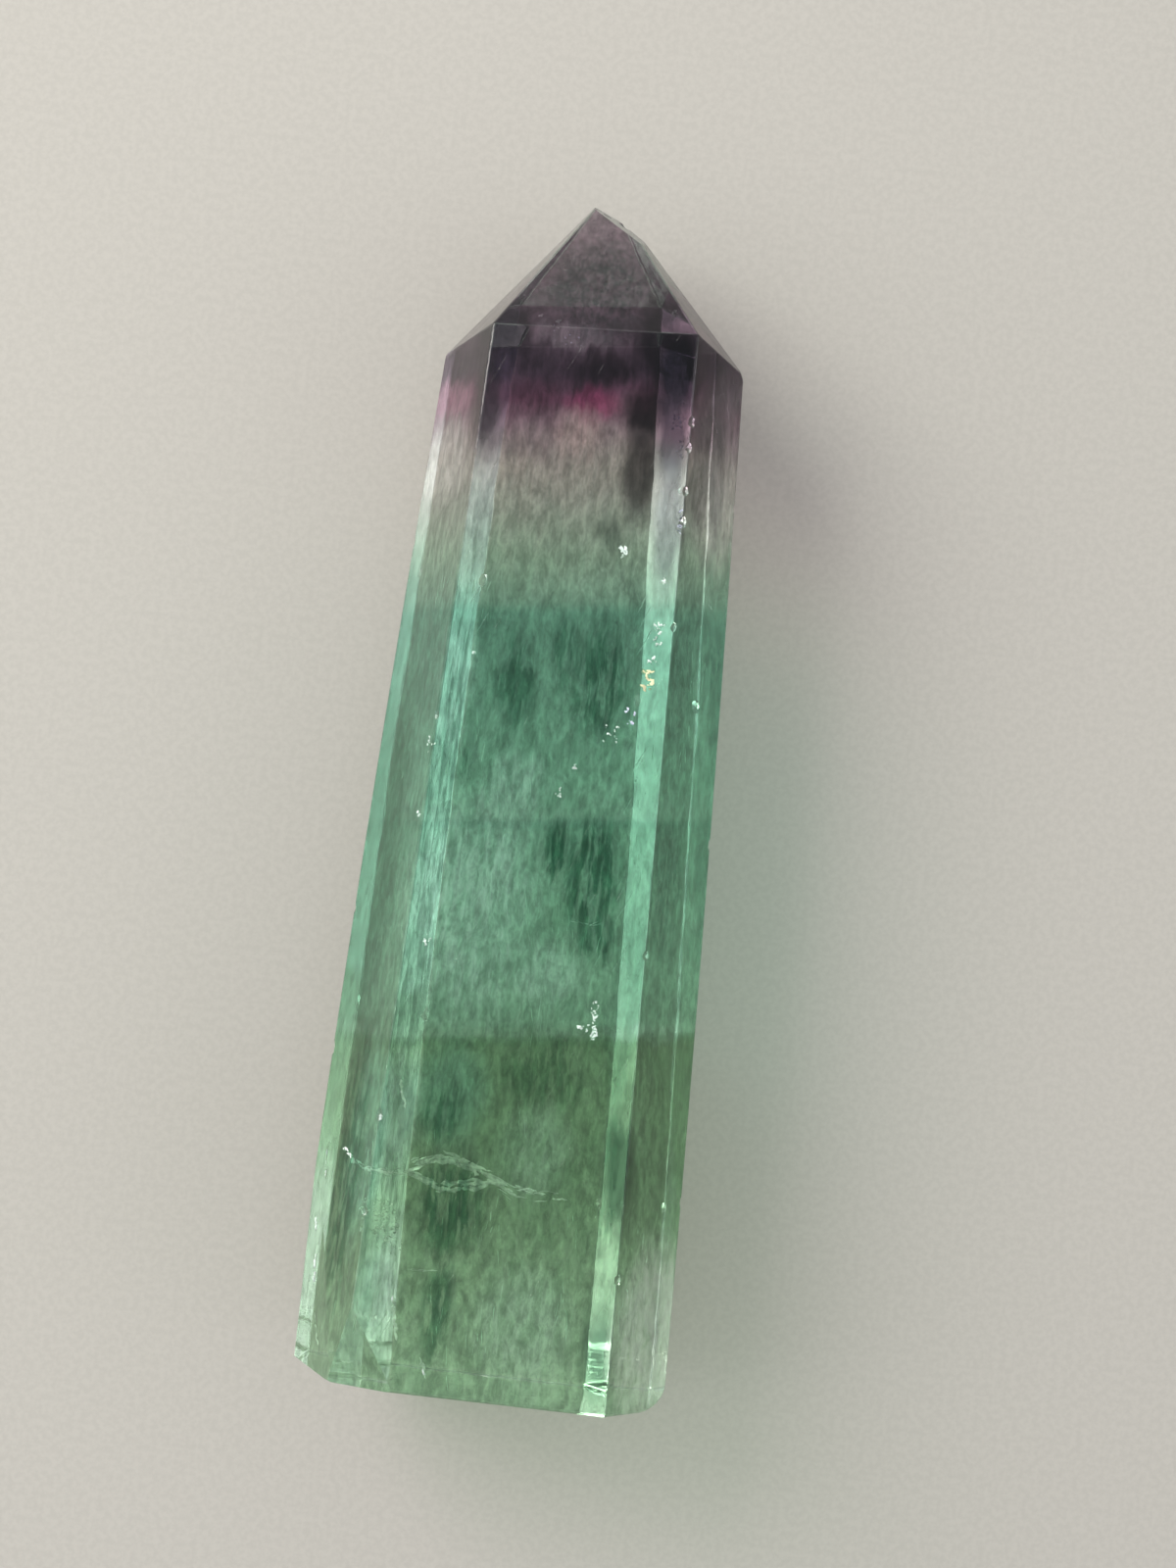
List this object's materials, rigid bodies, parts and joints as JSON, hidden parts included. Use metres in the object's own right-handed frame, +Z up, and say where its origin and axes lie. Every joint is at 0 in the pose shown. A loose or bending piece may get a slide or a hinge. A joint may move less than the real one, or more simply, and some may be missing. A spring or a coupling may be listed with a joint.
{
  "type": "fluorite point",
  "caption": "Cut and polished hexagonal fluorite crystal point with a flat base and a faceted tip, lying on its back face; banded smoky purple, clear and green.",
  "frame": {"origin": "bottom centre of the bounding box, on the flat face the crystal lies on", "axes": "+Y from the flat base toward the tip along the length, +Z up out of the front face, +X to the right seen from above with the tip away"},
  "size_m": [0.025, 0.08, 0.0164],
  "materials": {
    "fluorite": "polished"
  },
  "bodies": {
    "root": {"fluorite_point": "fluorite"}
  },
  "joints": []
}
